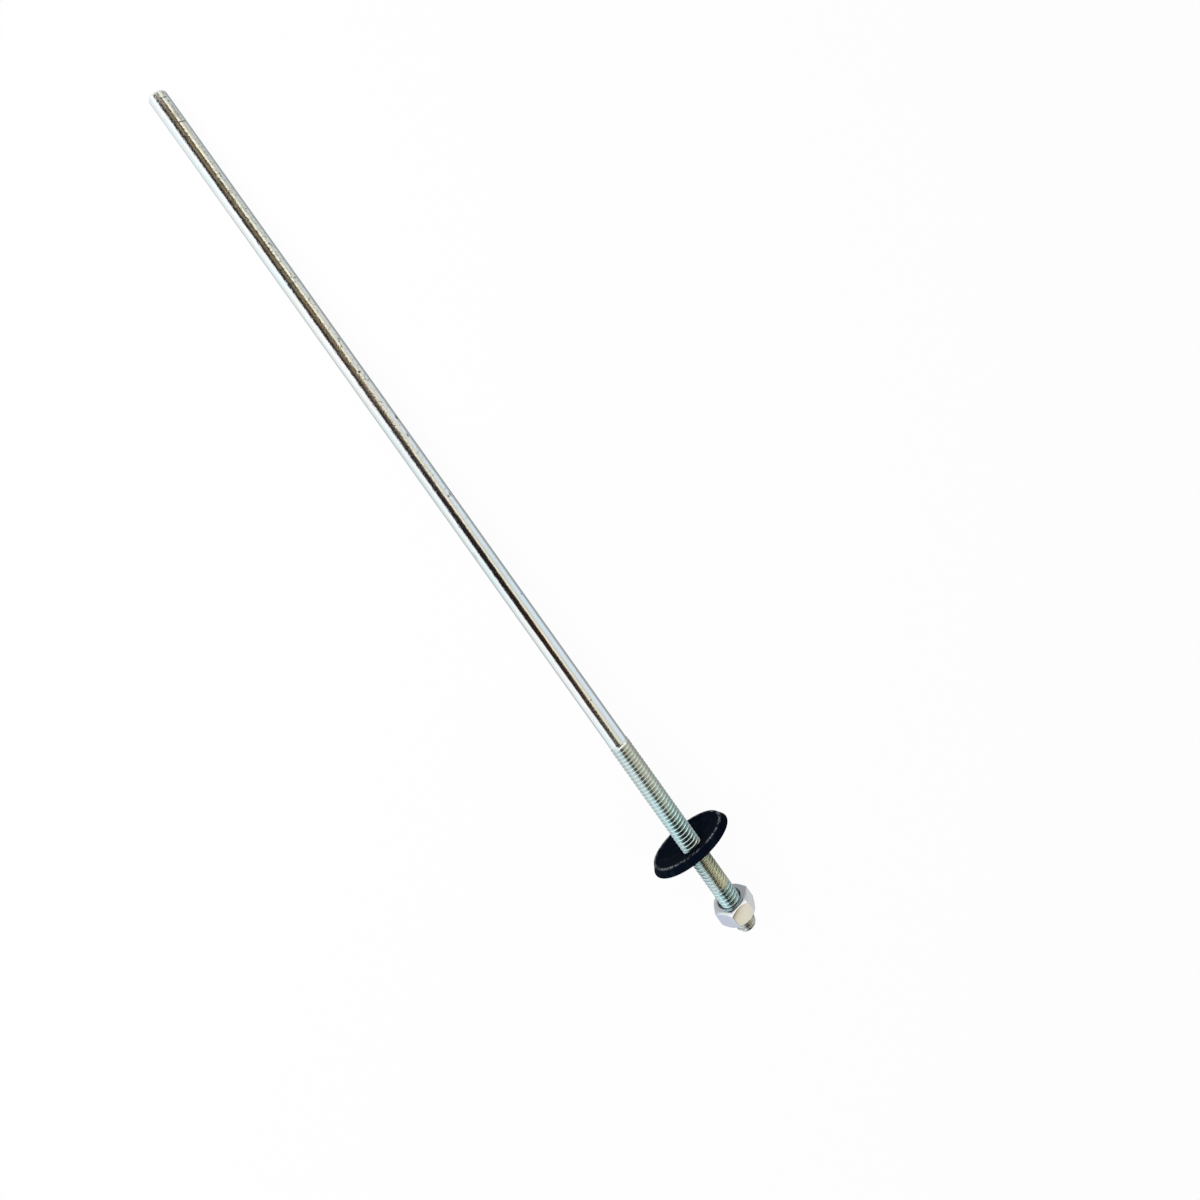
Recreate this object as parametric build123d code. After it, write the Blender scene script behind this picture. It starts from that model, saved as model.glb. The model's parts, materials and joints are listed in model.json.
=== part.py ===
from build123d import *
from math import acos, asin, atan2, cos, degrees, hypot, radians, sin, tan
import os

# Straight roofing bolt: a plain rod threaded at one end, a dished rubber sealing washer and a hexagon nut.
# All sizes are in millimetres.
#
# Each piece is drawn along +X, with the rod's axis on the X axis and its plain end at x = 0. The bolt is
# then laid down as it comes to rest: on the lower edge of the plain end and on the washer's rim, so that
# the threaded end is a little higher. +X runs towards the threaded tip, +Z is up, and the origin is on the
# floor under the middle of the bolt.

# Rod: 5/16 inch bar with an 18-per-inch thread rolled on one end, so the plain shank is thinner.
OVERALL_LENGTH = 370.0
SHANK_DIAMETER = 7.3
END_CHAMFER = 0.6
TIP_CHAMFER = 1.0
TIP_FACE_DIAMETER = 6.6

# Thread: 18 turns an inch. The real one is a right-hand helix; it is drawn as a ring groove for each turn.
THREAD_DIAMETER = 7.94
THREAD_LENGTH = 80.7
THREAD_PITCH = 25.4 / 18
THREAD_DEPTH = 0.8
RUNOUT_LENGTH = 1.5

# Hexagon nut, bevelled on both faces and countersunk at both ends of its thread.
NUT_ACROSS_FLATS = 13.3
NUT_HEIGHT = 6.75
NUT_CORNER_TRIM = 0.6
NUT_BEVEL_ANGLE = 40.0
NUT_COUNTERSINK = 0.55
NUT_PLAY = 0.05
THREAD_PAST_NUT = 4.85

# Sealing washer: a dished disc, hollow towards the plain end, with a rim that widens towards its back.
# Its diameter is taken at the back, before the rim's two edges are rounded.
WASHER_DIAMETER = 33.7
WASHER_THICKNESS = 2.6
WASHER_DISH = 2.6
WASHER_RIM_FLARE = 1.8
WASHER_RIM_ROUND = 0.4
WASHER_BORE_PLAY = 0.45
WASHER_LEAN_GAP = 0.03
WASHER_TO_NUT = 20.95

shank_radius = SHANK_DIAMETER / 2
thread_radius = THREAD_DIAMETER / 2
thread_start = OVERALL_LENGTH - THREAD_LENGTH
nut_start = OVERALL_LENGTH - THREAD_PAST_NUT - NUT_HEIGHT
washer_middle = nut_start - WASHER_TO_NUT - WASHER_THICKNESS / 2
washer_radius = WASHER_DIAMETER / 2
washer_bore_radius = thread_radius + WASHER_BORE_PLAY
rim_round = min(WASHER_RIM_ROUND, 0.3 * WASHER_THICKNESS)


def lathe(profile):
    """A solid turned from a closed outline of (along the axis, out from the axis) lines."""
    return revolve(make_face(profile), axis=Axis.X)


def make_rod():
    """The rod: a plain shank that tapers into the first groove of its thread, and a bevelled tip."""
    bevel_start = OVERALL_LENGTH - TIP_CHAMFER
    grooves = int((bevel_start - thread_start) / THREAD_PITCH)
    outline = [
        (0, 0),
        (0, shank_radius - END_CHAMFER),
        (END_CHAMFER, shank_radius),
        (thread_start - RUNOUT_LENGTH, shank_radius),
    ]
    for groove in range(grooves):
        root = thread_start + groove * THREAD_PITCH
        outline += [(root, thread_radius - THREAD_DEPTH), (root + THREAD_PITCH / 2, thread_radius)]
    outline += [(bevel_start, thread_radius), (OVERALL_LENGTH, TIP_FACE_DIAMETER / 2), (OVERALL_LENGTH, 0)]
    return lathe(Polyline(*outline, close=True))


def make_nut():
    """The nut: a hexagonal bar cut by the cones of its bevels, bored through and countersunk."""
    bore_radius = thread_radius + NUT_PLAY
    mouth_radius = bore_radius + NUT_COUNTERSINK
    face_radius = NUT_ACROSS_FLATS / 2 - NUT_CORNER_TRIM
    cone_rise = NUT_HEIGHT / 2 / tan(radians(NUT_BEVEL_ANGLE))
    turned = lathe(
        Polyline(
            (0, mouth_radius),
            (0, face_radius),
            (NUT_HEIGHT / 2, face_radius + cone_rise),
            (NUT_HEIGHT, face_radius),
            (NUT_HEIGHT, mouth_radius),
            (NUT_HEIGHT - NUT_COUNTERSINK, bore_radius),
            (NUT_COUNTERSINK, bore_radius),
            close=True,
        )
    )
    hexagon = Plane.YZ * RegularPolygon(NUT_ACROSS_FLATS / 2, 6, major_radius=False)
    return Pos(nut_start, 0, 0) * (turned & extrude(hexagon, NUT_HEIGHT))


def dish_radius(rim_radius):
    """The radius of the sphere that a dished side is part of, centred on the washer's axis."""
    to_rim = (rim_radius**2 - washer_bore_radius**2) / (2 * WASHER_DISH)
    return hypot(WASHER_DISH / 2 + to_rim, washer_bore_radius)


def washer_section():
    """Half the washer's section about its own middle: the centre of its bore, halfway through it."""
    front_bore = (-WASHER_THICKNESS / 2, washer_bore_radius)
    front_rim = (-WASHER_THICKNESS / 2 - WASHER_DISH, washer_radius - WASHER_RIM_FLARE)
    back_rim = (WASHER_THICKNESS / 2 - WASHER_DISH, washer_radius)
    back_bore = (WASHER_THICKNESS / 2, washer_bore_radius)
    outline = Curve() + [
        RadiusArc(front_bore, front_rim, -dish_radius(front_rim[1])),
        Line(front_rim, back_rim),
        RadiusArc(back_rim, back_bore, dish_radius(back_rim[1])),
        Line(back_bore, front_bore),
    ]
    section = make_face(outline)
    return fillet(section.vertices().group_by(Axis.X)[0] + section.vertices().group_by(Axis.Y)[-1], rim_round)


def washer_lean():
    """How far the washer tips on the rod, in radians, until both ends of its bore meet the thread."""
    bore = 2 * washer_bore_radius
    rod = THREAD_DIAMETER + 2 * WASHER_LEAN_GAP
    return acos(rod / hypot(bore, WASHER_THICKNESS)) - atan2(WASHER_THICKNESS, bore)


def rest_tilt(lean, rounding):
    """The rod's slope at rest, in radians, with the plain end's edge and the washer's rim on one floor."""
    reach = washer_middle - END_CHAMFER + rounding.X * cos(lean) + rounding.Y * sin(lean)
    drop = rounding.Y * cos(lean) - rounding.X * sin(lean) - shank_radius
    return asin(rim_round / hypot(reach, drop)) + atan2(drop, reach)


lean = washer_lean()
section = washer_section()
rim_edges = section.edges().filter_by(GeomType.CIRCLE).sort_by(SortBy.RADIUS)[:2]
slope = rest_tilt(lean, rim_edges.sort_by(Axis.X)[-1].arc_center)
leaning_washer = Pos(washer_middle, 0, 0) * Rot(0, -degrees(lean), 0) * revolve(section, axis=Axis.X)

tilt = Rot(0, -degrees(slope), 0)
pieces = {
    "bolt_rod": tilt * make_rod(),
    "sealing_washer": tilt * leaning_washer,
    "hex_nut": tilt * make_nut(),
}
bounds = Compound(list(pieces.values())).bounding_box()
to_origin = Pos(-bounds.center().X, -bounds.center().Y, -bounds.min.Z)

os.makedirs("parts", exist_ok=True)
for name, piece in pieces.items():
    export_step(to_origin * piece, f"parts/{name}.step")
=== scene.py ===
import json
from math import atan2, cos, hypot, pi, radians, sin, sqrt, tan

import bmesh
import bpy
from bpy.props import FloatProperty, FloatVectorProperty, PointerProperty
from mathutils import Matrix, Vector


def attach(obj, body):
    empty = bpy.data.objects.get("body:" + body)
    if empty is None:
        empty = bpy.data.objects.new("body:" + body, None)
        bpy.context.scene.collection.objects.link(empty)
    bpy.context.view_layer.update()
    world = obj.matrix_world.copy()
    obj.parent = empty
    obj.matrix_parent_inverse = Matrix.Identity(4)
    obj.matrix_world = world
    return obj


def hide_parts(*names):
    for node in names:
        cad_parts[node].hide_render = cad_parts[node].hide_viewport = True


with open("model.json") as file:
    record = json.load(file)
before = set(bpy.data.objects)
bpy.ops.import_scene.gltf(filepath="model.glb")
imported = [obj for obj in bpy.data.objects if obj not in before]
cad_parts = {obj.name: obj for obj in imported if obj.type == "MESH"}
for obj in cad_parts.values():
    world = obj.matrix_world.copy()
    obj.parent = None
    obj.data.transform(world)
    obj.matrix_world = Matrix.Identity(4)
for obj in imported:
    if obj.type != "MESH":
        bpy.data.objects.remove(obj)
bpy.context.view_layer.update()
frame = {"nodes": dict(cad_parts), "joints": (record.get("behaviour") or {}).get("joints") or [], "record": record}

bl_info = {
    "name": "Roofing Bolt",
    "version": (1, 0, 0),
    "blender": (4, 5, 0),
    "location": "View3D > Sidebar > Bolt",
    "description": "Builds a straight roofing bolt with its sealing washer and hexagon nut",
    "category": "Mesh",
}

# Lengths are in metres and angles in radians. Each piece is built round +X in a frame of its own, and then
# moved to its place on the bolt.
MM = 0.001


# ---------------------------------------------------------------- places taken from the frame


def mount(name):
    """One of the record's mounts."""
    return next(m for m in frame["record"]["mounts"] if m["name"] == name)


def joint(name):
    """One of the record's joints."""
    return next(j for j in frame["joints"] if j["name"] == name)


def corners(node):
    """The points of a CAD node's mesh."""
    return [v.co for v in frame["nodes"][node].data.vertices]


def span(node, axis):
    """How far a CAD node reaches along an axis: its lowest and highest coordinate there."""
    reach = [point.dot(axis) for point in corners(node)]
    return min(reach), max(reach)


def from_axis(point, place, axis):
    """The arm from an axis out to a point."""
    arm = point - place
    return arm - axis * arm.dot(axis)


def lying_frame(axis, place):
    """A frame with X along a piece's axis, Y level and Z up from that axis, at a place on it."""
    level = Vector((0, 1, 0))
    up = axis.cross(level).normalized()
    return Matrix.Translation(place) @ Matrix((axis, level, up)).transposed().to_4x4()


rod_axis = Vector(joint("nut_turn")["axis"]).normalized()
on_rod = Vector(joint("nut_turn")["pos_m"])
rod_from, rod_to = span("bolt_rod", rod_axis)
nut_from, nut_to = span("hex_nut", rod_axis)
plain_end = on_rod + rod_axis * (rod_from - on_rod.dot(rod_axis))
nut_middle = on_rod + rod_axis * ((nut_from + nut_to) / 2 - on_rod.dot(rod_axis))
rod_frame = lying_frame(rod_axis, plain_end)
nut_frame = lying_frame(rod_axis, nut_middle)
rod_length = rod_to - rod_from
shank_length = mount("shank")["dims"]["length_mm"] * MM
shank_radius = mount("shank")["dims"]["r_mm"] * MM
thread_radius = max(from_axis(p, on_rod, rod_axis).length for p in corners("bolt_rod"))

nut_height = nut_to - nut_from
nut_corner = max((from_axis(p, on_rod, rod_axis) for p in corners("hex_nut")), key=lambda arm: arm.length)
nut_across_flats = 2 * nut_corner.length * cos(pi / 6)
nut_corner_angle = atan2(nut_corner.dot(nut_frame.col[2].xyz), nut_corner.dot(nut_frame.col[1].xyz))

washer_axis = -Vector(mount("sealing_rim")["axis"]).normalized()
on_washer = Vector(mount("sealing_rim")["pos_m"])
_, washer_to = span("sealing_washer", washer_axis)
washer_back = on_washer + washer_axis * (washer_to - on_washer.dot(washer_axis))
washer_frame = lying_frame(washer_axis, washer_back)
washer_radius = max(from_axis(p, on_washer, washer_axis).length for p in corners("sealing_washer"))
washer_bore = min(from_axis(p, on_washer, washer_axis).length for p in corners("sealing_washer"))


# ---------------------------------------------------------------- sizes and colours that can be changed


class RodSettings(bpy.types.PropertyGroup):
    pitch: FloatProperty(
        name="Pitch", description="Distance from one turn of the thread to the next",
        default=25.4 / 18 * MM, min=0.5 * MM, unit="LENGTH", precision=5)
    thread_depth: FloatProperty(
        name="Thread Depth", description="From the thread's crest down to its root",
        default=0.80 * MM, min=0.1 * MM, unit="LENGTH", precision=5)
    end_bevel: FloatProperty(
        name="End Bevel", description="Worn edge round the plain end",
        default=0.6 * MM, min=0.05 * MM, unit="LENGTH", precision=5)
    tip_bevel: FloatProperty(
        name="Tip Bevel", description="Length of the bevel at the threaded tip",
        default=1.0 * MM, min=0.1 * MM, unit="LENGTH", precision=5)
    tip_face: FloatProperty(
        name="Tip Face", description="Radius of the flat face at the threaded tip",
        default=3.3 * MM, min=0.1 * MM, unit="LENGTH", precision=5)
    zinc: FloatVectorProperty(
        name="Zinc", description="Bright zinc plating on the rod",
        default=(0.93, 0.94, 0.94), size=3, min=0, max=1, subtype="COLOR")
    cool_tint: FloatVectorProperty(
        name="Cool Tint", description="Blue-green film of the passivated zinc",
        default=(0.84, 0.93, 0.94), size=3, min=0, max=1, subtype="COLOR")
    warm_tint: FloatVectorProperty(
        name="Warm Tint", description="Straw film of the passivated zinc",
        default=(0.93, 0.90, 0.78), size=3, min=0, max=1, subtype="COLOR")
    rose_tint: FloatVectorProperty(
        name="Rose Tint", description="Faint pink streaks in the film",
        default=(0.92, 0.82, 0.80), size=3, min=0, max=1, subtype="COLOR")
    # A yellow-green tint over one side of the thread, chosen by the angle round the rod.
    olive_tint: FloatVectorProperty(
        name="Olive Tint", description="Yellow-green film on the older-looking side of the thread",
        default=(0.80, 0.77, 0.63), size=3, min=0, max=1, subtype="COLOR")
    stain: FloatVectorProperty(
        name="Stain", description="Pits and handling marks on the shank",
        default=(0.07, 0.06, 0.05), size=3, min=0, max=1, subtype="COLOR")
    teal_tint: FloatVectorProperty(
        name="Teal Tint", description="Stronger blue-green film next to the washer and the nut",
        default=(0.78, 1.00, 1.00), size=3, min=0, max=1, subtype="COLOR")
    straw_tint: FloatVectorProperty(
        name="Straw Tint", description="Yellow blotches between the washer and the nut",
        default=(0.98, 0.90, 0.64), size=3, min=0, max=1, subtype="COLOR")
    # Painted shade in the thread's grooves, darkest where the dark strip overhead is mirrored.
    groove_shade: FloatVectorProperty(
        name="Groove", description="Duller plating in the thread's grooves",
        default=(0.34, 0.44, 0.42), size=3, min=0, max=1, subtype="COLOR")
    # Painted shade and painted reflection of the black washer, in the grooves next to the washer and the nut.
    deep_groove_shade: FloatVectorProperty(
        name="Deep Groove", description="Oil and dirt in the grooves next to the washer and the nut",
        default=(0.10, 0.18, 0.19), size=3, min=0, max=1, subtype="COLOR")
    tip_stain: FloatVectorProperty(
        name="Tip Stain", description="Brownish mottling round the tip",
        default=(0.45, 0.38, 0.33), size=3, min=0, max=1, subtype="COLOR")


class WasherSettings(bpy.types.PropertyGroup):
    diameter: FloatProperty(
        name="Diameter", description="Width across the back, before the rim's edges are rounded",
        default=33.7 * MM, min=10 * MM, unit="LENGTH", precision=5)
    thickness: FloatProperty(
        name="Thickness", description="Thickness of the rubber, at the bore and at the rim",
        default=2.6 * MM, min=0.5 * MM, unit="LENGTH", precision=5)
    dish: FloatProperty(
        name="Dish", description="How far the rim stands forward of the bore",
        default=2.6 * MM, min=0.1 * MM, unit="LENGTH", precision=5)
    rim_flare: FloatProperty(
        name="Rim Flare", description="How much wider the rim is at its back than in front, on the radius",
        default=1.8 * MM, min=0, unit="LENGTH", precision=5)
    rim_round: FloatProperty(
        name="Rim Round", description="Radius of the rim's two edges",
        default=0.4 * MM, min=0.1 * MM, unit="LENGTH", precision=5)
    bore_round: FloatProperty(
        name="Bore Round", description="Radius of the two edges of the bore",
        default=0.15 * MM, min=0.01 * MM, unit="LENGTH", precision=5)
    rubber: FloatVectorProperty(
        name="Rubber", description="Black sealing rubber",
        default=(0.0022, 0.0040, 0.0100), size=3, min=0, max=1, subtype="COLOR")
    bloom: FloatVectorProperty(
        name="Bloom", description="Faint blue-green patches of the film that rubber sweats out",
        default=(0.012, 0.024, 0.034), size=3, min=0, max=1, subtype="COLOR")
    # Painted highlight along the rim's front edge, broken into specks.
    rim_highlight: FloatVectorProperty(
        name="Worn Edge", description="Grey specks where the rim's front edge is rubbed",
        default=(0.30, 0.33, 0.37), size=3, min=0, max=1, subtype="COLOR")


class NutSettings(bpy.types.PropertyGroup):
    face_trim: FloatProperty(
        name="Face Trim", description="How much smaller than the flats the round face is, on the radius",
        default=0.6 * MM, min=0.05 * MM, unit="LENGTH", precision=5)
    bevel_angle: FloatProperty(
        name="Bevel Angle", description="Slope of the bevel on both faces",
        default=radians(40), min=radians(10), max=radians(60), subtype="ANGLE", unit="ROTATION")
    corner_round: FloatProperty(
        name="Corner Round", description="Radius of the six long edges",
        default=0.3 * MM, min=0.02 * MM, unit="LENGTH", precision=5)
    countersink: FloatProperty(
        name="Countersink", description="Depth of the countersink at both ends of the bore",
        default=0.75 * MM, min=0.05 * MM, unit="LENGTH", precision=5)
    bore_play: FloatProperty(
        name="Bore Play", description="Gap between the rod's crests and the bore",
        default=0.05 * MM, min=0.01 * MM, unit="LENGTH", precision=5)
    zinc: FloatVectorProperty(
        name="Zinc", description="Bright zinc plating on the nut",
        default=(0.84, 0.86, 0.90), size=3, min=0, max=1, subtype="COLOR")
    warm_tint: FloatVectorProperty(
        name="Warm Tint", description="Straw film on the nut",
        default=(0.92, 0.86, 0.76), size=3, min=0, max=1, subtype="COLOR")
    # Painted shade in the countersinks round the rod.
    mouth_shade: FloatVectorProperty(
        name="Mouth Stain", description="Oil and dirt in the countersinks",
        default=(0.05, 0.08, 0.09), size=3, min=0, max=1, subtype="COLOR")


class StageSettings(bpy.types.PropertyGroup):
    camera_along: FloatProperty(
        name="Camera Along", description="Camera's distance from the plain end, along the rod",
        default=160.0 * MM, unit="LENGTH", precision=5)
    camera_aside: FloatProperty(
        name="Camera Aside", description="Camera's distance to one side of the rod",
        default=24.8 * MM, unit="LENGTH", precision=5)
    camera_height: FloatProperty(
        name="Camera Height", description="Camera's distance above the rod",
        default=280.7 * MM, min=0.01, unit="LENGTH", precision=5)
    camera_roll: FloatProperty(
        name="Camera Roll", description="How far the camera is swung round the rod from straight above",
        default=radians(12.1), subtype="ANGLE", unit="ROTATION")
    slant: FloatProperty(
        name="Slant", description="How steeply the rod falls from left to right across the picture",
        default=radians(54.49), subtype="ANGLE", unit="ROTATION")
    lens: FloatProperty(
        name="Lens", description="Focal length in millimetres on a 36 mm sensor",
        default=23.123, min=1)
    shift_along: FloatProperty(
        name="Shift", description="Shift of the picture along the rod, as a share of its width",
        default=0.1896)
    floor_colour: FloatVectorProperty(
        name="Floor", description="Pale studio floor",
        default=(0.92, 0.92, 0.92), size=3, min=0, max=1, subtype="COLOR")
    ambient: FloatProperty(
        name="Ambient", description="Strength of the even light from all round",
        default=0.55, min=0)
    key: FloatProperty(
        name="Key Lamp", description="Power of the large soft lamp in watts",
        default=3.0, min=0)


# ---------------------------------------------------------------- shader expressions


class Wire:
    """An output of a shader node. Arithmetic on it adds Math nodes."""

    def __init__(self, tree, socket):
        self.tree = tree
        self.socket = socket

    def __getitem__(self, name):
        """Another output of the same node."""
        return Wire(self.tree, self.socket.node.outputs[name])

    def math(self, operation, *values):
        """A Math node fed with wires or numbers."""
        settings = {"operation": operation}
        return node(self.tree, "ShaderNodeMath", settings, dict(enumerate(values)))

    def __add__(self, other):
        return self.math("ADD", self, other)

    def __radd__(self, other):
        return self.math("ADD", other, self)

    def __sub__(self, other):
        return self.math("SUBTRACT", self, other)

    def __rsub__(self, other):
        return self.math("SUBTRACT", other, self)

    def __mul__(self, other):
        return self.math("MULTIPLY", self, other)

    def __rmul__(self, other):
        return self.math("MULTIPLY", other, self)

    def __truediv__(self, other):
        return self.math("DIVIDE", self, other)

    def __rtruediv__(self, other):
        return self.math("DIVIDE", other, self)

    def __pow__(self, other):
        return self.math("POWER", self, other)

    def __rpow__(self, other):
        return self.math("POWER", other, self)

    def toward(self, other):
        """The angle whose sine goes as this wire and whose cosine goes as the other."""
        return self.math("ARCTAN2", self, other)

    def lesser(self, other):
        """The lower of two values."""
        return self.math("MINIMUM", self, other)

    def greater(self, other):
        """The higher of two values."""
        return self.math("MAXIMUM", self, other)

    def rise(self, low, high):
        """0 up to low, 1 from high on, and straight between them."""
        return ((self - low) / (high - low)).greater(0.0).lesser(1.0)

    def band(self, low, high, soft):
        """1 between low and high and 0 outside, with soft edges."""
        return self.rise(low - soft, low) * (1 - self.rise(high, high + soft))


def node(tree, kind, settings=None, sockets=None):
    """Adds a node: its settings first, a ramp's stops among them, then its sockets' values or links."""
    made = tree.nodes.new(kind)
    for name, value in (settings or {}).items():
        if name == "stops":
            stops = made.color_ramp.elements
            while len(stops) < len(value):
                stops.new(1.0)
            for stop, (place, colour) in zip(stops, value):
                stop.position = place
                stop.color = (*colour, 1)
        else:
            setattr(made, name, value)
    for name, value in (sockets or {}).items():
        socket = made.inputs[name]
        if isinstance(value, Wire):
            tree.links.new(value.socket, socket)
        elif socket.type == "RGBA":
            socket.default_value = (*value, 1)
        else:
            socket.default_value = value
    shown = [output for output in made.outputs if output.enabled]
    return Wire(tree, shown[0]) if shown else None


def mix(tree, share, first, second, blend="MIX"):
    """A colour between two, or one blended over the other."""
    settings = {"data_type": "RGBA", "blend_type": blend}
    return node(tree, "ShaderNodeMix", settings, {0: share, 6: first, 7: second})


def ramp(tree, share, stops):
    """A colour that goes through (place, colour) stops as a value rises."""
    return node(tree, "ShaderNodeValToRGB", {"stops": stops}, {"Fac": share})["Color"]


def stretched(tree, place, scale):
    """A place with each coordinate scaled by itself."""
    settings = {"operation": "MULTIPLY"}
    return node(tree, "ShaderNodeVectorMath", settings, {0: place, 1: scale})


def along(tree, vector, axis):
    """How far a vector goes along an axis."""
    settings = {"operation": "DOT_PRODUCT"}
    wire = node(tree, "ShaderNodeVectorMath", settings, {0: vector, 1: tuple(axis)})
    return wire["Value"]


def own_place(tree, matrix):
    """Where a shaded point is in a piece's own frame: as a vector, and its coordinate along each axis."""
    at = node(tree, "ShaderNodeTexCoord")["Object"]
    arm = node(tree, "ShaderNodeVectorMath", {"operation": "SUBTRACT"}, {0: at, 1: matrix.translation})
    x, y, z = (along(tree, arm, matrix.col[k].xyz) for k in range(3))
    return node(tree, "ShaderNodeCombineXYZ", {}, {"X": x, "Y": y, "Z": z}), x, y, z


def noise(tree, place, scale, detail=3.0, rough=0.55):
    """Smooth noise from 0 to 1."""
    sockets = {"Vector": place, "Scale": scale, "Detail": detail, "Roughness": rough}
    return node(tree, "ShaderNodeTexNoise", {}, sockets)


def new_material(name):
    """An empty material, and its node tree."""
    material = bpy.data.materials.new(name)
    material.use_nodes = True
    material.node_tree.nodes.clear()
    return material, material.node_tree


def surface(tree, shader):
    """Ends a material with its shader."""
    node(tree, "ShaderNodeOutputMaterial", {}, {"Surface": shader})


def principled(tree, height, relief, sockets):
    """Ends a material with a Principled shader, bumped by a height that is so many metres deep."""
    bump = node(tree, "ShaderNodeBump", {}, {"Height": height, "Strength": 1.0, "Distance": relief})
    surface(tree, node(tree, "ShaderNodeBsdfPrincipled", {}, {**sockets, "Normal": bump}))


# ---------------------------------------------------------------- finishes


# Marks on the shank: for each one its place in millimetres from the plain end, its turn in degrees from the
# top, half its length and half its width in millimetres, and how dark it is.
MARKS = (
    (10.7, 25, 1.7, 1.2, 0.30), (31.9, 26, 0.35, 0.30, 0.50), (52.8, 27, 1.6, 0.25, 0.30),
    (68.1, 29, 0.42, 0.36, 0.90), (110.6, 40, 0.40, 0.35, 0.70), (124.7, 20, 0.55, 0.45, 1.00),
    (127.0, 32, 0.60, 0.25, 0.45), (141.5, 0, 0.40, 0.40, 0.90), (145.8, 50, 1.00, 0.45, 1.00),
    (153.2, 40, 0.90, 0.40, 0.50), (179.8, 24, 0.50, 0.40, 0.80), (179.5, 41, 0.70, 0.40, 0.75),
    (191.1, -30, 0.40, 0.30, 0.70), (203.0, -59, 1.80, 0.35, 0.30), (223.9, 42, 0.40, 0.35, 0.60),
    (269.3, 9, 0.40, 0.30, 0.70),
)

# A scratch part of the way round the shank: from and to in millimetres from the plain end, then in degrees
# from the top, and how dark it is.
SCRATCH = (13.8, 14.1, 12, 50, 0.9)

# Stretches of the thread with their own film, in millimetres from the tip: the far end, the near end and how
# softly they fade.
BETWEEN_WASHER_AND_NUT = (36, 19, 1.5)
ABOUT_WASHER = (46, 36, 22)
ABOUT_NUT = (17, 11, 2)


def stretch(reach, places):
    """1 on a stretch of the thread and 0 elsewhere, with soft ends."""
    far_end, near_end, fade = places
    return reach.band(rod_length - far_end * MM, rod_length - near_end * MM, fade * MM)


def marks_on_shank(reach, angle):
    """Up to 1 on the shank's pits, stains and scratches, and 0 elsewhere."""
    begin, end, first, last, depth = SCRATCH
    across = angle.band(radians(first), radians(last), radians(6))
    marks = reach.band(begin * MM, end * MM, 0.2 * MM) * across * depth
    for place, turn, length, width, depth in MARKS:
        off_along = (reach - place * MM) / (length * MM)
        off_round = (angle - radians(turn)) * (shank_radius / (width * MM))
        spot = 1 - (off_along * off_along + off_round * off_round).rise(0.4, 1.3)
        marks = marks.greater(spot * depth)
    return marks


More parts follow.
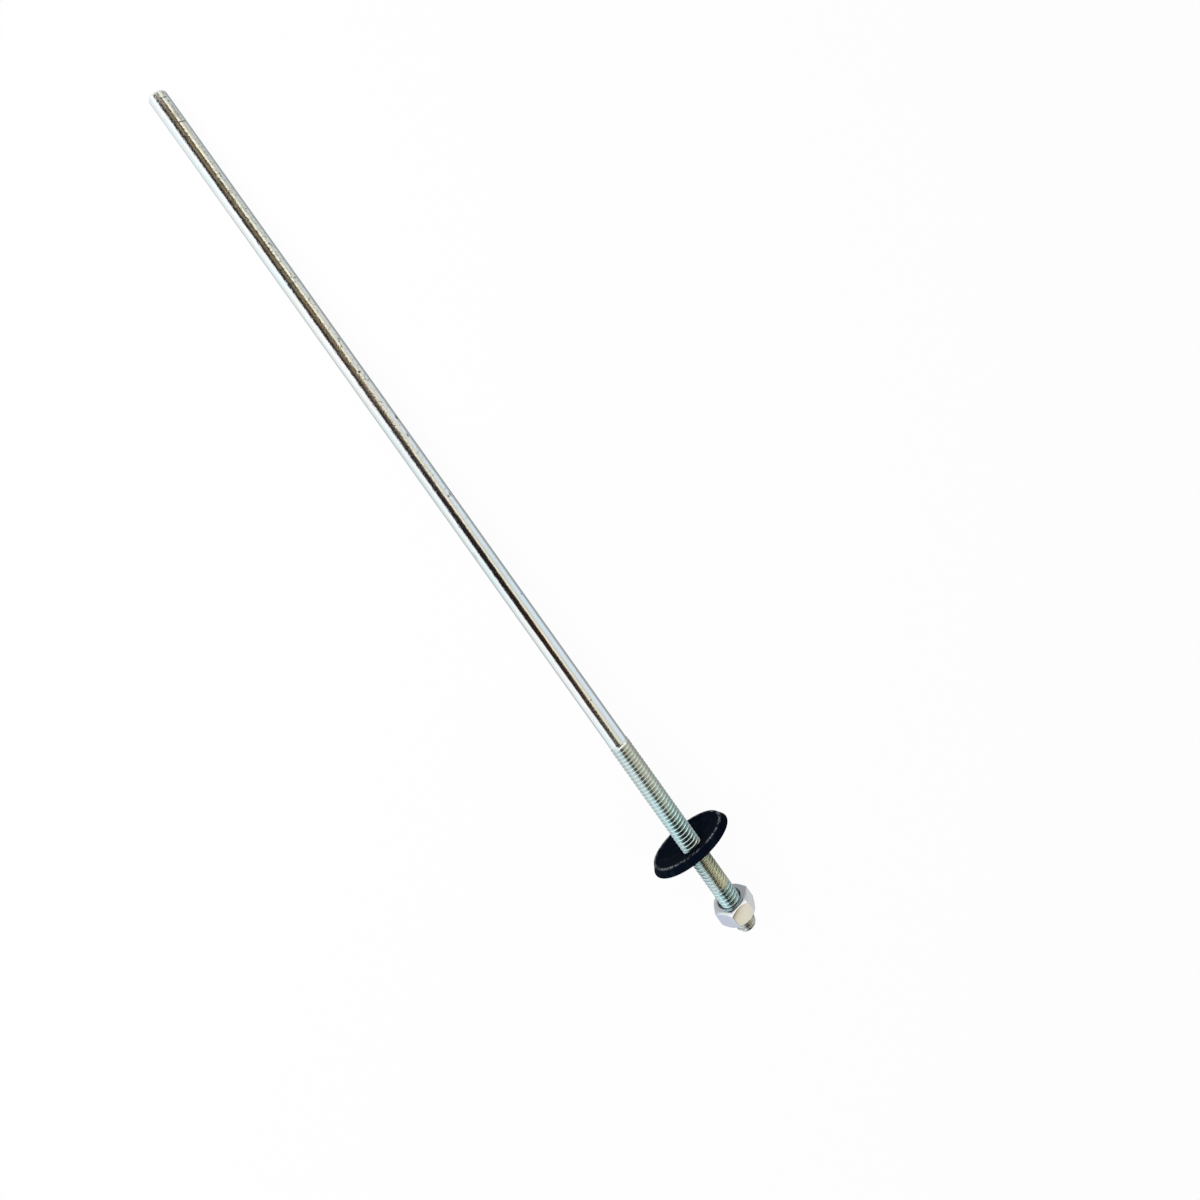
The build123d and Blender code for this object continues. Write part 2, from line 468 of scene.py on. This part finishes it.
def zinc_on_rod(settings):
    """Bright, blue-passivated zinc: tinted films, drawing lines, pits, and painted shade in the thread's grooves.
    """
    material, tree = new_material("bright_zinc_rod")
    place, reach, level, up = own_place(tree, rod_frame)
    angle = level.toward(up)
    radius = (level * level + up * up) ** 0.5

    film = noise(tree, stretched(tree, place, (40, 160, 160)), 1.0, 4.0, 0.6)
    streaks = noise(tree, stretched(tree, place, (130, 900, 900)), 1.0, 3.0, 0.6)
    blotch = noise(tree, place, 420.0, 3.0, 0.6)
    lines = noise(tree, stretched(tree, place, (90, 2200, 2200)), 1.0, 2.0, 0.6)
    dimples = noise(tree, place, 1100.0, 3.0, 0.6)
    mottle = noise(tree, place, 800.0, 2.0, 0.6)
    grain = noise(tree, place, 2600.0, 2.0, 0.6)
    flecks = noise(tree, stretched(tree, place, (1100, 2300, 2300)), 1.0, 3.0, 0.7).rise(0.55, 0.68)

    # Where on the rod: on the thread, down in its grooves, and along its length.
    root = thread_radius - settings.thread_depth
    on_thread = reach.rise(shank_length + 1.5 * MM, shank_length + 3 * MM)
    in_groove = (1 - radius.rise(root, thread_radius - 0.1 * MM)) * on_thread
    between = stretch(reach, BETWEEN_WASHER_AND_NUT)
    beside = stretch(reach, ABOUT_WASHER).greater(stretch(reach, ABOUT_NUT))
    near_tip = reach.rise(rod_length - 5 * MM, rod_length - 2 * MM)
    rougher = 1 - reach.rise(0.35 * rod_length, 0.60 * rod_length)

    # And round it, from the top.
    far_side = angle.rise(radians(10), radians(30))
    overhead = angle.band(radians(-35), radians(15), radians(30))
    on_top = angle.band(radians(-22), radians(45), radians(8))

    cool = film.rise(0.42, 0.62) * (1 - far_side * 0.6)
    colour = mix(tree, cool, settings.zinc, settings.cool_tint)
    colour = mix(tree, blotch.rise(0.52, 0.70) * 0.55, colour, settings.warm_tint)
    colour = mix(tree, streaks.rise(0.52, 0.72) * 0.6, colour, settings.rose_tint)
    # Yellow-green tint by the angle round the rod: none from 35 degrees on one side of the top, most from 25
    # degrees on the other, broken up by blotches.
    side_share = angle.rise(radians(-35), radians(25)) * 0.8 + (blotch - 0.5) * 1.6
    thread_film = mix(tree, side_share.rise(0.0, 1.0), settings.cool_tint, settings.olive_tint)
    thread_film = mix(tree, dimples.rise(0.58, 0.72) * 0.5, thread_film, settings.rose_tint)
    thread_film = mix(tree, beside * 0.8, thread_film, settings.teal_tint)
    straw = between * (mottle.rise(0.42, 0.60) * 0.6 + 0.3) * angle.rise(radians(-40), radians(-10))
    thread_film = mix(tree, straw, thread_film, settings.straw_tint)
    colour = mix(tree, on_thread, colour, thread_film)

    # Darker painted shade in the grooves next to the washer and the nut, round the top of the rod.
    deep_shade_share = beside * angle.band(radians(-40), radians(55), radians(20))
    groove_shade = mix(tree, deep_shade_share, settings.groove_shade, settings.deep_groove_shade)
    # Painted shade in the grooves: a little everywhere, most round the top where the dark strip is mirrored, least
    # between the washer and the nut.
    groove_shade_share = (0.12 + overhead * 0.5 - between * 0.1).greater(deep_shade_share * 0.95)
    colour = mix(tree, in_groove * groove_shade_share, colour, groove_shade)
    colour = mix(tree, near_tip * dimples.rise(0.35, 0.65) * 0.8, colour, settings.tip_stain)
    specks = dimples.rise(0.57, 0.64) * on_top * rougher
    colour = mix(tree, specks * 0.75, colour, settings.stain)
    marks = marks_on_shank(reach, angle)
    colour = mix(tree, marks, colour, settings.stain)

    flecked = flecks * (0.12 + rougher * 0.20)
    matt = between * (1 - overhead) * 0.25
    roughness = 0.08 + film * 0.04 + flecked + on_thread * 0.08 + in_groove * 0.07 + matt + marks * 0.3
    hammered = dimples * (0.6 + rougher * 0.8) + blotch * (0.4 + rougher * 0.5)
    height = lines * 0.3 + hammered + grain * 0.1 - marks * 0.4
    principled(tree, height, 0.06 * MM, {"Base Color": colour, "Metallic": 1.0, "Roughness": roughness})
    return material


# How much wider than its depth a countersink is, on the radius.
MOUTH_SPREAD = 1.2


def zinc_on_nut(settings):
    """Bright zinc on a forged nut: satin faces with soft straw blotches, and painted shade in the countersinks."""
    material, tree = new_material("bright_zinc_nut")
    place, _, level, up = own_place(tree, nut_frame)
    radius = (level * level + up * up) ** 0.5
    blotch = noise(tree, place, 260.0, 3.0, 0.6)
    grain = noise(tree, place, 3200.0, 3.0, 0.65)
    mouth_radius = thread_radius + settings.bore_play + MOUTH_SPREAD * settings.countersink
    # Painted shade round the mouths of the bore.
    mouth = 1 - radius.rise(mouth_radius - 0.3 * MM, mouth_radius)
    colour = mix(tree, blotch.rise(0.45, 0.70) * 0.6, settings.zinc, settings.warm_tint)
    colour = mix(tree, mouth * 0.85, colour, settings.mouth_shade)
    roughness = 0.16 + blotch * 0.08 + grain * 0.08
    height = blotch * 0.8 + grain * 0.2
    principled(tree, height, 0.012 * MM, {"Base Color": colour, "Metallic": 1.0, "Roughness": roughness})
    return material


def black_rubber(settings):
    """Dull black rubber with a bluish cast, a faint pale bloom, a painted sheen towards the rim, a painted
    highlight on its front edge and a fine moulded grain.
    """
    material, tree = new_material("black_rubber")
    place, reach, level, up = own_place(tree, washer_frame)
    radius = (level * level + up * up) ** 0.5
    patches = noise(tree, place, 330.0, 4.0, 0.6)
    grain = noise(tree, place, 2400.0, 2.0, 0.6)
    front = -settings.thickness - settings.dish
    front_out = washer_radius - settings.rim_flare
    outward = radius.rise(front_out - 0.50 * MM, front_out - 0.30 * MM)
    edge = outward * (1 - reach.rise(front + 0.3 * MM, front + 0.55 * MM))
    # Painted highlight: pale grey specks along the front edge of the rim.
    rim_highlight_share = edge * grain.rise(0.47, 0.60) * patches.rise(0.40, 0.55)
    on_dish = 1 - radius.rise(front_out, front_out + 0.2 * MM)
    # Painted sheen: the bloom patches grow stronger towards the front rim, across the dish.
    rim_sheen = radius.rise(front_out - 4 * MM, front_out - 0.5 * MM) * on_dish
    colour = mix(tree, patches.rise(0.50, 0.72) * (0.4 + rim_sheen * 0.5), settings.rubber, settings.bloom)
    colour = mix(tree, rim_highlight_share, colour, settings.rim_highlight)
    roughness = 0.5 + patches * 0.15
    height = grain * 0.6 + patches * 0.4
    principled(tree, height, 0.02 * MM, {
        "Base Color": colour, "Roughness": roughness, "Specular IOR Level": 0.006,
        "Coat Weight": edge * 0.3, "Coat Roughness": 0.2, "Coat IOR": 1.3})
    return material


# ---------------------------------------------------------------- mesh building


def bridge(shape, lower, upper):
    """Quads between two rings of equally many points."""
    for k in range(len(lower)):
        shape.faces.new((lower[k - 1], lower[k], upper[k], upper[k - 1]))


def finished_mesh(name, shape, sharp=radians(40)):
    """A mesh of a shape: welded, its faces turned outwards, and smooth but for its sharp edges."""
    bmesh.ops.remove_doubles(shape, verts=shape.verts, dist=0.0001 * MM)
    bmesh.ops.recalc_face_normals(shape, faces=shape.faces)
    for face in shape.faces:
        face.smooth = True
    mesh = bpy.data.meshes.new(name)
    shape.to_mesh(mesh)
    shape.free()
    mesh.set_sharp_from_angle(angle=sharp)
    return mesh


def hollow_mesh(name, rings):
    """A mesh whose rings of points are joined one after the other, and the last to the first."""
    shape = bmesh.new()
    rows = [[shape.verts.new(point) for point in points] for points in rings]
    for lower, upper in zip(rows, rows[1:] + rows[:1]):
        bridge(shape, lower, upper)
    return finished_mesh(name, shape)


def place_piece(name, mesh, material, matrix):
    """An object with that finish, whose mesh is moved from its own frame to its place on the bolt."""
    mesh.transform(matrix)
    mesh.materials.append(material)
    piece = bpy.data.objects.new(name, mesh)
    bpy.context.scene.collection.objects.link(piece)
    return piece


def ring(x, radius, steps):
    """A ring of points round the X axis."""
    return [(x, radius * cos(2 * pi * k / steps), radius * sin(2 * pi * k / steps)) for k in range(steps)]


def arc(centre_x, centre_r, radius, first, last, steps):
    """Points (along, out) on an arc, at angles from the X axis."""
    turns = [first + (last - first) * k / steps for k in range(steps + 1)]
    return [(centre_x + radius * cos(a), centre_r + radius * sin(a)) for a in turns]


# Points round the rod and round the washer.
ROUND_STEPS = 96
WASHER_STEPS = 128
# Where the thread's profile is sampled, as shares of the pitch from the middle of a crest.
THREAD_SAMPLES = (0.0, 0.05, 0.09, 0.14, 0.25, 0.36, 0.42, 0.5, 0.58, 0.64, 0.75, 0.86, 0.91, 0.95)


def thread_drop(share, pitch, depth):
    """How far the thread's surface lies below its crest, at a share of the pitch from the crest's middle."""
    half_crest, crest_end, root_start = 1 / 16, 0.06, 0.42
    crest_drop, half_angle = 0.05 * depth, radians(30)
    off = min(share % 1, 1 - share % 1)
    flank = pitch * (off - half_crest) / tan(half_angle)
    if off < crest_end:
        return crest_drop * (off / crest_end) ** 2
    if off > root_start:
        root = depth * (1 - 0.35 * ((0.5 - off) / 0.10) ** 2)
        return max(root, min(flank, depth))
    return min(max(flank, crest_drop), depth)


def shank_profile(settings):
    """Points (along, out) of the shank, from within the plain end's face to the start of the thread."""
    bevel = settings.end_bevel
    profile = [(0, 0.35 * shank_radius), (0, shank_radius - 1.15 * bevel)]
    profile += arc(bevel, shank_radius - bevel, bevel, pi * 0.94, pi / 2, 6)
    steps = 40
    profile += [(bevel + shank_length * k / steps, shank_radius) for k in range(1, steps + 1)]
    return profile


def make_rod_mesh(settings):
    """The rod: a plain shank, a right-hand thread that fades in from it, and a bevelled tip."""
    shape = bmesh.new()
    profile = shank_profile(settings)
    rows = [[shape.verts.new(p) for p in ring(x, r, ROUND_STEPS)] for x, r in profile]
    for lower, upper in zip(rows, rows[1:]):
        bridge(shape, lower, upper)
    shape.faces.new(rows[0])

    pitch, depth = settings.pitch, settings.thread_depth
    begin = profile[-1][0]
    fade = 1.6 * pitch
    tip_slope = (thread_radius - settings.tip_face) / settings.tip_bevel
    per_turn = len(THREAD_SAMPLES)
    turns = int((rod_length - begin) / pitch) + 3
    levels = [begin + pitch * (turn - 1 + share) for turn in range(turns) for share in THREAD_SAMPLES]

    def surface_point(row, step):
        """A point of the thread: on its helix, but held between the shank's end and the tip."""
        x = levels[row] + pitch * step / ROUND_STEPS
        x = min(max(x, begin), rod_length)
        share = (x - begin) / pitch - step / ROUND_STEPS
        crest = thread_radius - thread_drop(share, pitch, depth)
        grown = min((x - begin) / fade, 1)
        radius = shank_radius + (crest - shank_radius) * grown * grown * (3 - 2 * grown)
        radius = min(radius, settings.tip_face + (rod_length - x) * tip_slope)
        angle = 2 * pi * step / ROUND_STEPS
        return x, radius * cos(angle), radius * sin(angle)

    grid = [[shape.verts.new(surface_point(i, j)) for j in range(ROUND_STEPS)] for i in range(len(levels))]
    last = len(levels) - 1
    for i in range(last):
        for j in range(ROUND_STEPS):
            if j + 1 < ROUND_STEPS:
                right = grid[i][j + 1], grid[i + 1][j + 1]
            else:
                right = grid[min(i + per_turn, last)][0], grid[min(i + 1 + per_turn, last)][0]
            around = [grid[i][j], right[0], right[1], grid[i + 1][j]]
            if right[0] is right[1]:
                around.pop(2)
            shape.faces.new(around)
    inner = [shape.verts.new(p) for p in ring(rod_length, 0.9 * settings.tip_face, ROUND_STEPS)]
    bridge(shape, grid[last], inner)
    shape.faces.new(inner)
    return finished_mesh("threaded_rod", shape)


def rounded(corner, before, after, radius, steps):
    """Points on an arc that rounds a corner between its two neighbours."""
    corner, before, after = Vector(corner), Vector(before), Vector(after)
    back, on = (before - corner).normalized(), (after - corner).normalized()
    half = back.angle(on) / 2
    centre = corner + (back + on).normalized() * (radius / sin(half))
    start, end = (corner + way * (radius / tan(half)) - centre for way in (back, on))
    first = atan2(start.y, start.x)
    turn = atan2(start.cross(end), start.dot(end))
    return arc(centre.x, centre.y, radius, first, first + turn, steps)


def make_washer_mesh(settings):
    """The washer about the middle of its back's bore edge: a dish with a rim that widens to the back."""
    thick, dish, rim, bore_round = settings.thickness, settings.dish, settings.rim_round, settings.bore_round

    def dished(bore_x, rim_out, steps=16):
        """A dished side, part of a sphere, as (along, out) points from the bore to the rim."""
        curve = hypot(dish / 2 + (rim_out ** 2 - washer_bore ** 2) / (2 * dish), washer_bore)
        centre = bore_x - sqrt(curve ** 2 - washer_bore ** 2)
        outs = [washer_bore + (rim_out - washer_bore) * k / steps for k in range(steps + 1)]
        return [(centre + sqrt(curve ** 2 - out ** 2), out) for out in outs]

    back_out = settings.diameter / 2
    front = dished(-thick, back_out - settings.rim_flare)
    back = dished(0, back_out)[::-1]
    profile = rounded(front[0], back[-1], front[1], bore_round, 4)
    profile += front[1:-1]
    profile += rounded(front[-1], front[-2], back[0], rim, 8)
    profile += rounded(back[0], front[-1], back[1], rim, 8)
    profile += back[1:-1]
    profile += rounded(back[-1], back[-2], front[0], bore_round, 4)
    return hollow_mesh("dished_washer", [ring(x, out, WASHER_STEPS) for x, out in profile])


def hexagon_radius(angle, flat, corner_round):
    """From a hexagon's middle out to its outline, whose corners are rounded, at an angle from a corner."""
    off = abs((angle + pi / 6) % (pi / 3) - pi / 6)
    inner = (flat - corner_round) / cos(pi / 6)
    if inner * sin(off) < corner_round:
        out = inner * cos(off) + sqrt(corner_round ** 2 - (inner * sin(off)) ** 2)
        touch = atan2(out * sin(off), out * cos(off) - inner)
        if touch < pi / 6:
            return out
    return flat / cos(pi / 6 - off)


# Where the nut's outline is sampled, in degrees from one corner to the next.
FLAT_SAMPLES = (0, 0.4, 0.8, 1.2, 3, 6, 10, 15, 20, 25, 30, 35, 40, 45, 50, 54, 57, 58.8, 59.2, 59.6)


def make_nut_mesh(settings):
    """The nut about its middle: six flats, a round bevel on each face, and a countersunk bore."""
    flat = nut_across_flats / 2
    half = nut_height / 2
    face = flat - settings.face_trim
    bore = thread_radius + settings.bore_play
    sink = settings.countersink
    slope = tan(settings.bevel_angle)
    soft = 0.10 * MM
    angles = [radians(60 * side + sample) for side in range(6) for sample in FLAT_SAMPLES]
    rings = []

    def add(point_at):
        """A ring whose points (along, out) depend on how far out the hexagon is at each angle."""
        rings.append([])
        for angle in angles:
            x, out = point_at(hexagon_radius(angle, flat, settings.corner_round))
            turn = angle + nut_corner_angle
            rings[-1].append((x, out * cos(turn), out * sin(turn)))

    for side in (-1, 1):
        # From the bore out over a face to the flats.
        steps = [
            lambda edge: (side * (half - sink), bore),
            lambda edge: (side * (half - 0.1 * sink), bore + 0.9 * sink),
            lambda edge: (side * half, bore + MOUTH_SPREAD * sink),
            lambda edge: (side * half, face - soft),
            lambda edge: (side * (half - 0.3 * slope * soft), face + 0.3 * soft),
            lambda edge: (side * (half - slope * (edge - face - soft)), edge - soft),
            lambda edge: (side * (half - slope * (edge - face) - 0.25 * soft), edge - 0.25 * soft),
            lambda edge: (side * (half - slope * (edge - face) - soft), edge),
        ]
        for step in steps if side < 0 else steps[::-1]:
            add(step)
    return hollow_mesh("hexagon_nut", rings)


# ---------------------------------------------------------------- pieces


class BOLT_OT_threaded_rod(bpy.types.Operator):
    """Builds the zinc-plated rod with its thread"""

    bl_idname = "bolt.threaded_rod"
    bl_label = "Threaded Rod"

    def execute(self, context):
        settings = context.scene.bolt_rod
        rod = place_piece("threaded_rod", make_rod_mesh(settings), zinc_on_rod(settings), rod_frame)
        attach(rod, "rod")
        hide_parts("bolt_rod")
        return {"FINISHED"}


class BOLT_OT_dished_washer(bpy.types.Operator):
    """Builds the dished rubber sealing washer"""

    bl_idname = "bolt.dished_washer"
    bl_label = "Dished Washer"

    def execute(self, context):
        settings = context.scene.bolt_washer
        mesh, rubber = make_washer_mesh(settings), black_rubber(settings)
        washer = place_piece("dished_washer", mesh, rubber, washer_frame)
        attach(washer, "washer")
        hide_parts("sealing_washer")
        return {"FINISHED"}


class BOLT_OT_hexagon_nut(bpy.types.Operator):
    """Builds the zinc-plated hexagon nut"""

    bl_idname = "bolt.hexagon_nut"
    bl_label = "Hexagon Nut"

    def execute(self, context):
        settings = context.scene.bolt_nut
        nut = place_piece("hexagon_nut", make_nut_mesh(settings), zinc_on_nut(settings), nut_frame)
        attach(nut, "nut")
        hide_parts("hex_nut")
        return {"FINISHED"}


# ---------------------------------------------------------------- stage


def view_axes(settings):
    """Unit vectors across the rod as the camera sees it: to the side, and towards the camera."""
    up, level = rod_frame.col[2].xyz, rod_frame.col[1].xyz
    roll = settings.camera_roll
    return level * cos(roll) + up * sin(roll), up * cos(roll) - level * sin(roll)


def make_camera(settings):
    """The camera, with its sensor held parallel to the rod."""
    aside, toward = view_axes(settings)
    slant = settings.slant
    right = rod_axis * cos(slant) + aside * sin(slant)
    up = aside * cos(slant) - rod_axis * sin(slant)
    place = plain_end + rod_axis * settings.camera_along
    place = place + aside * settings.camera_aside + toward * settings.camera_height
    lens = bpy.data.cameras.new("camera")
    lens.sensor_width = 36
    lens.lens = settings.lens
    lens.shift_x = settings.shift_along * cos(slant)
    lens.shift_y = -settings.shift_along * sin(slant)
    lens.clip_start = 0.01
    camera = bpy.data.objects.new("camera", lens)
    bpy.context.scene.collection.objects.link(camera)
    camera.matrix_world = Matrix.Translation(place) @ Matrix((right, up, toward)).transposed().to_4x4()
    bpy.context.scene.camera = camera


def make_floor(settings):
    """A wide pale floor that keeps the bolt's shadow; metal mirrors it with a painted shadow close beside the rod
    and painted tints along it.
    """
    material, tree = new_material("pale_floor")
    path = node(tree, "ShaderNodeLightPath")
    seen = path["Is Camera Ray"].greater(path["Is Transmission Ray"])
    mirrored = path["Is Glossy Ray"]
    place = node(tree, "ShaderNodeNewGeometry")["Position"]
    # How far beside the rod the floor's point is, in heights of the rod above the floor there.
    climb = rod_axis.z / rod_axis.x
    rod_height = along(tree, place, (climb, 0, 0)) + (plain_end.z - plain_end.x * climb)
    across = along(tree, place, (0, 1, 0)) / rod_height
    reach = along(tree, place, rod_axis) - plain_end.dot(rod_axis)
    past_tip = reach.rise(0.99 * rod_length, 1.03 * rod_length)
    open_floor = ramp(tree, reach / rod_length, (
        (0.25, (0.92, 0.95, 0.96)), (0.42, (0.78, 0.88, 0.90)), (0.60, (0.78, 0.88, 0.90)),
        (0.68, (0.86, 0.89, 0.91)), (0.85, (0.90, 0.98, 1.00))))
    # What metal mirrors of the floor is painted: a painted shadow close beside the rod on both sides, and tints
    # along it.
    plain_side = mix(tree, across.rise(-2.4, -1.1), open_floor, (0.53, 0.55, 0.56))
    plain_side = mix(tree, past_tip, plain_side, (0.61, 0.65, 0.75))
    lamp_side = mix(tree, across.rise(3.0, 9.0), (0.34, 0.36, 0.37), (0.56, 0.62, 0.66))
    lamp_side = mix(tree, past_tip, lamp_side, (0.64, 0.65, 0.66))
    beside = mix(tree, across.rise(-0.05, 0.05), plain_side, lamp_side)
    diffuse = node(tree, "ShaderNodeBsdfDiffuse", {}, {"Color": settings.floor_colour})
    glow = node(tree, "ShaderNodeEmission", {}, {"Color": (1, 1, 1), "Strength": 1.0})
    mirrored_glow = node(tree, "ShaderNodeEmission", {}, {"Color": beside, "Strength": 1.0})
    lit = node(tree, "ShaderNodeMixShader", {}, {0: seen * 0.95, 1: diffuse, 2: glow})
    whole = node(tree, "ShaderNodeMixShader", {}, {0: mirrored, 1: lit, 2: mirrored_glow})
    surface(tree, whole)
    mesh = bpy.data.meshes.new("floor")
    half = 3.0
    square = [(-half, -half, 0), (half, -half, 0), (half, half, 0), (-half, half, 0)]
    mesh.from_pydata(square, [], [(0, 1, 2, 3)])
    mesh.materials.append(material)
    floor = bpy.data.objects.new("floor", mesh)
    bpy.context.scene.collection.objects.link(floor)


def make_world(settings):
    """Even light; mirrored in the metal it is a bright side, a dark strip overhead and a grey side."""
    world = bpy.data.worlds.new("studio")
    world.use_nodes = True
    bpy.context.scene.world = world
    tree = world.node_tree
    tree.nodes.clear()
    aside, toward = view_axes(settings)
    ray = node(tree, "ShaderNodeTexCoord")["Generated"]
    lengthwise = along(tree, ray, rod_axis)
    # Degrees round the rod from the side that faces the camera.
    turn = along(tree, ray, aside).toward(along(tree, ray, toward)) * (180 / pi)
    # From 0 towards the plain end to 1 towards the tip.
    far = lengthwise.rise(-0.5, 0.5)

    # Where the strips begin and end, in degrees round the rod.
    first_edge = -32 + 5 * far.rise(0.36, 0.50) - 15 * far.rise(0.48, 0.64) + 4 * far.rise(0.70, 0.80)
    last_edge = 42 - 18 * far.rise(0.36, 0.48) - 8 * far.rise(0.58, 0.80) - 10 * far.rise(0.86, 0.92)
    cream_to = last_edge + 12 + 8 * far.rise(0.86, 0.92)
    seam_at = cream_to + 12
    wall_from = seam_at + 24
    soft = 4.0

    # The strips' colours, which change towards the tip.
    bright = mix(tree, far.rise(0.30, 0.45), (1.12, 1.10, 1.10), (1.0, 1.02, 1.03))
    ink = ramp(tree, far, (
        (0.35, (0.024, 0.022, 0.030)), (0.50, (0.032, 0.032, 0.042)), (0.60, (0.010, 0.009, 0.012)),
        (0.70, (0.014, 0.007, 0.007)), (0.80, (0.030, 0.015, 0.010)), (0.89, (0.022, 0.008, 0.005)),
        (0.94, (0.200, 0.200, 0.170))))
    brown = ramp(tree, far, (
        (0.35, (0.250, 0.180, 0.090)), (0.50, (0.050, 0.040, 0.032)), (0.60, (0.020, 0.016, 0.014)),
        (0.70, (0.015, 0.007, 0.004)), (0.80, (0.045, 0.022, 0.010)), (0.89, (0.040, 0.016, 0.006)),
        (0.94, (0.270, 0.265, 0.210))))
    cream = ramp(tree, far, (
        (0.20, (1.20, 1.12, 0.90)), (0.50, (1.00, 0.90, 0.72)), (0.80, (1.00, 0.88, 0.72)),
        (0.90, (0.89, 0.82, 0.64))))
    seam = (0.62, 0.62, 0.54)
    wall = ramp(tree, far, (
        (0.05, (0.50, 0.49, 0.44)), (0.22, (0.70, 0.71, 0.66)), (0.36, (0.71, 0.70, 0.65)),
        (0.50, (0.72, 0.84, 0.90)), (0.75, (0.72, 0.81, 0.90))))

    dark = mix(tree, turn.rise(-7.0, 5.0), ink, brown)
    second_line = turn.rise(last_edge - 20, last_edge - 12) * (1 - far.rise(0.35, 0.45))
    dark = mix(tree, second_line, dark, ink)
    colour = mix(tree, turn.rise(first_edge - soft, first_edge + soft), bright, dark)
    colour = mix(tree, turn.rise(last_edge - soft, last_edge + soft), colour, cream)
    colour = mix(tree, turn.rise(cream_to, seam_at), colour, seam)
    colour = mix(tree, turn.rise(seam_at, wall_from), colour, wall)
    colour = mix(tree, lengthwise.rise(-0.70, -0.58), bright, colour)

    path = node(tree, "ShaderNodeLightPath")
    seen = path["Is Camera Ray"].greater(path["Is Transmission Ray"])
    ambient = (settings.ambient, settings.ambient, settings.ambient)
    shown = mix(tree, path["Is Glossy Ray"], ambient, colour)
    shown = mix(tree, seen, shown, (1, 1, 1))
    background = node(tree, "ShaderNodeBackground", {}, {"Color": shown, "Strength": 1.0})
    node(tree, "ShaderNodeOutputWorld", {}, {"Surface": background})


def make_lamps(settings):
    """One large soft lamp high on the plain-end side."""
    aside, _ = view_axes(settings)
    lamp = bpy.data.lights.new("key", "AREA")
    lamp.shape = "RECTANGLE"
    lamp.size, lamp.size_y = 0.5, 0.4
    lamp.energy = settings.key
    key = bpy.data.objects.new("key", lamp)
    bpy.context.scene.collection.objects.link(key)
    key.visible_glossy = False
    back, side, height = 0.45, 0.35, 0.6
    key.location = nut_middle - rod_axis * back - aside * side + Vector((0, 0, height))
    target = nut_middle - rod_axis * 0.1
    key.rotation_mode = "QUATERNION"
    key.rotation_quaternion = (target - key.location).to_track_quat("-Z", "Y")


class BOLT_OT_stage(bpy.types.Operator):
    """Sets up the floor, the light and the camera"""

    bl_idname = "bolt.stage"
    bl_label = "Stage"

    def execute(self, context):
        settings = context.scene.bolt_stage
        make_floor(settings)
        make_world(settings)
        make_lamps(settings)
        make_camera(settings)
        context.scene.view_settings.view_transform = "Standard"
        return {"FINISHED"}


class BOLT_PT_pieces(bpy.types.Panel):
    """Lists the bolt's pieces and their settings"""

    bl_label = "Roofing Bolt"
    bl_idname = "BOLT_PT_pieces"
    bl_space_type = "VIEW_3D"
    bl_region_type = "UI"
    bl_category = "Bolt"

    def draw(self, context):
        for group, _, operator in GROUPS:
            box = self.layout.box()
            box.operator(operator.bl_idname)
            settings = getattr(context.scene, group)
            for name in settings.bl_rna.properties.keys():
                if name not in ("name", "rna_type"):
                    box.prop(settings, name)


GROUPS = (
    ("bolt_rod", RodSettings, BOLT_OT_threaded_rod),
    ("bolt_washer", WasherSettings, BOLT_OT_dished_washer),
    ("bolt_nut", NutSettings, BOLT_OT_hexagon_nut),
    ("bolt_stage", StageSettings, BOLT_OT_stage),
)


def register():
    for group, settings, operator in GROUPS:
        bpy.utils.register_class(settings)
        setattr(bpy.types.Scene, group, PointerProperty(type=settings))
        bpy.utils.register_class(operator)
    bpy.utils.register_class(BOLT_PT_pieces)


def unregister():
    bpy.utils.unregister_class(BOLT_PT_pieces)
    for group, settings, operator in reversed(GROUPS):
        bpy.utils.unregister_class(operator)
        delattr(bpy.types.Scene, group)
        bpy.utils.unregister_class(settings)


def main():
    register()
    bpy.ops.bolt.threaded_rod()
    bpy.ops.bolt.dished_washer()
    bpy.ops.bolt.hexagon_nut()
    bpy.ops.bolt.stage()


if __name__ == "__main__":
    main()
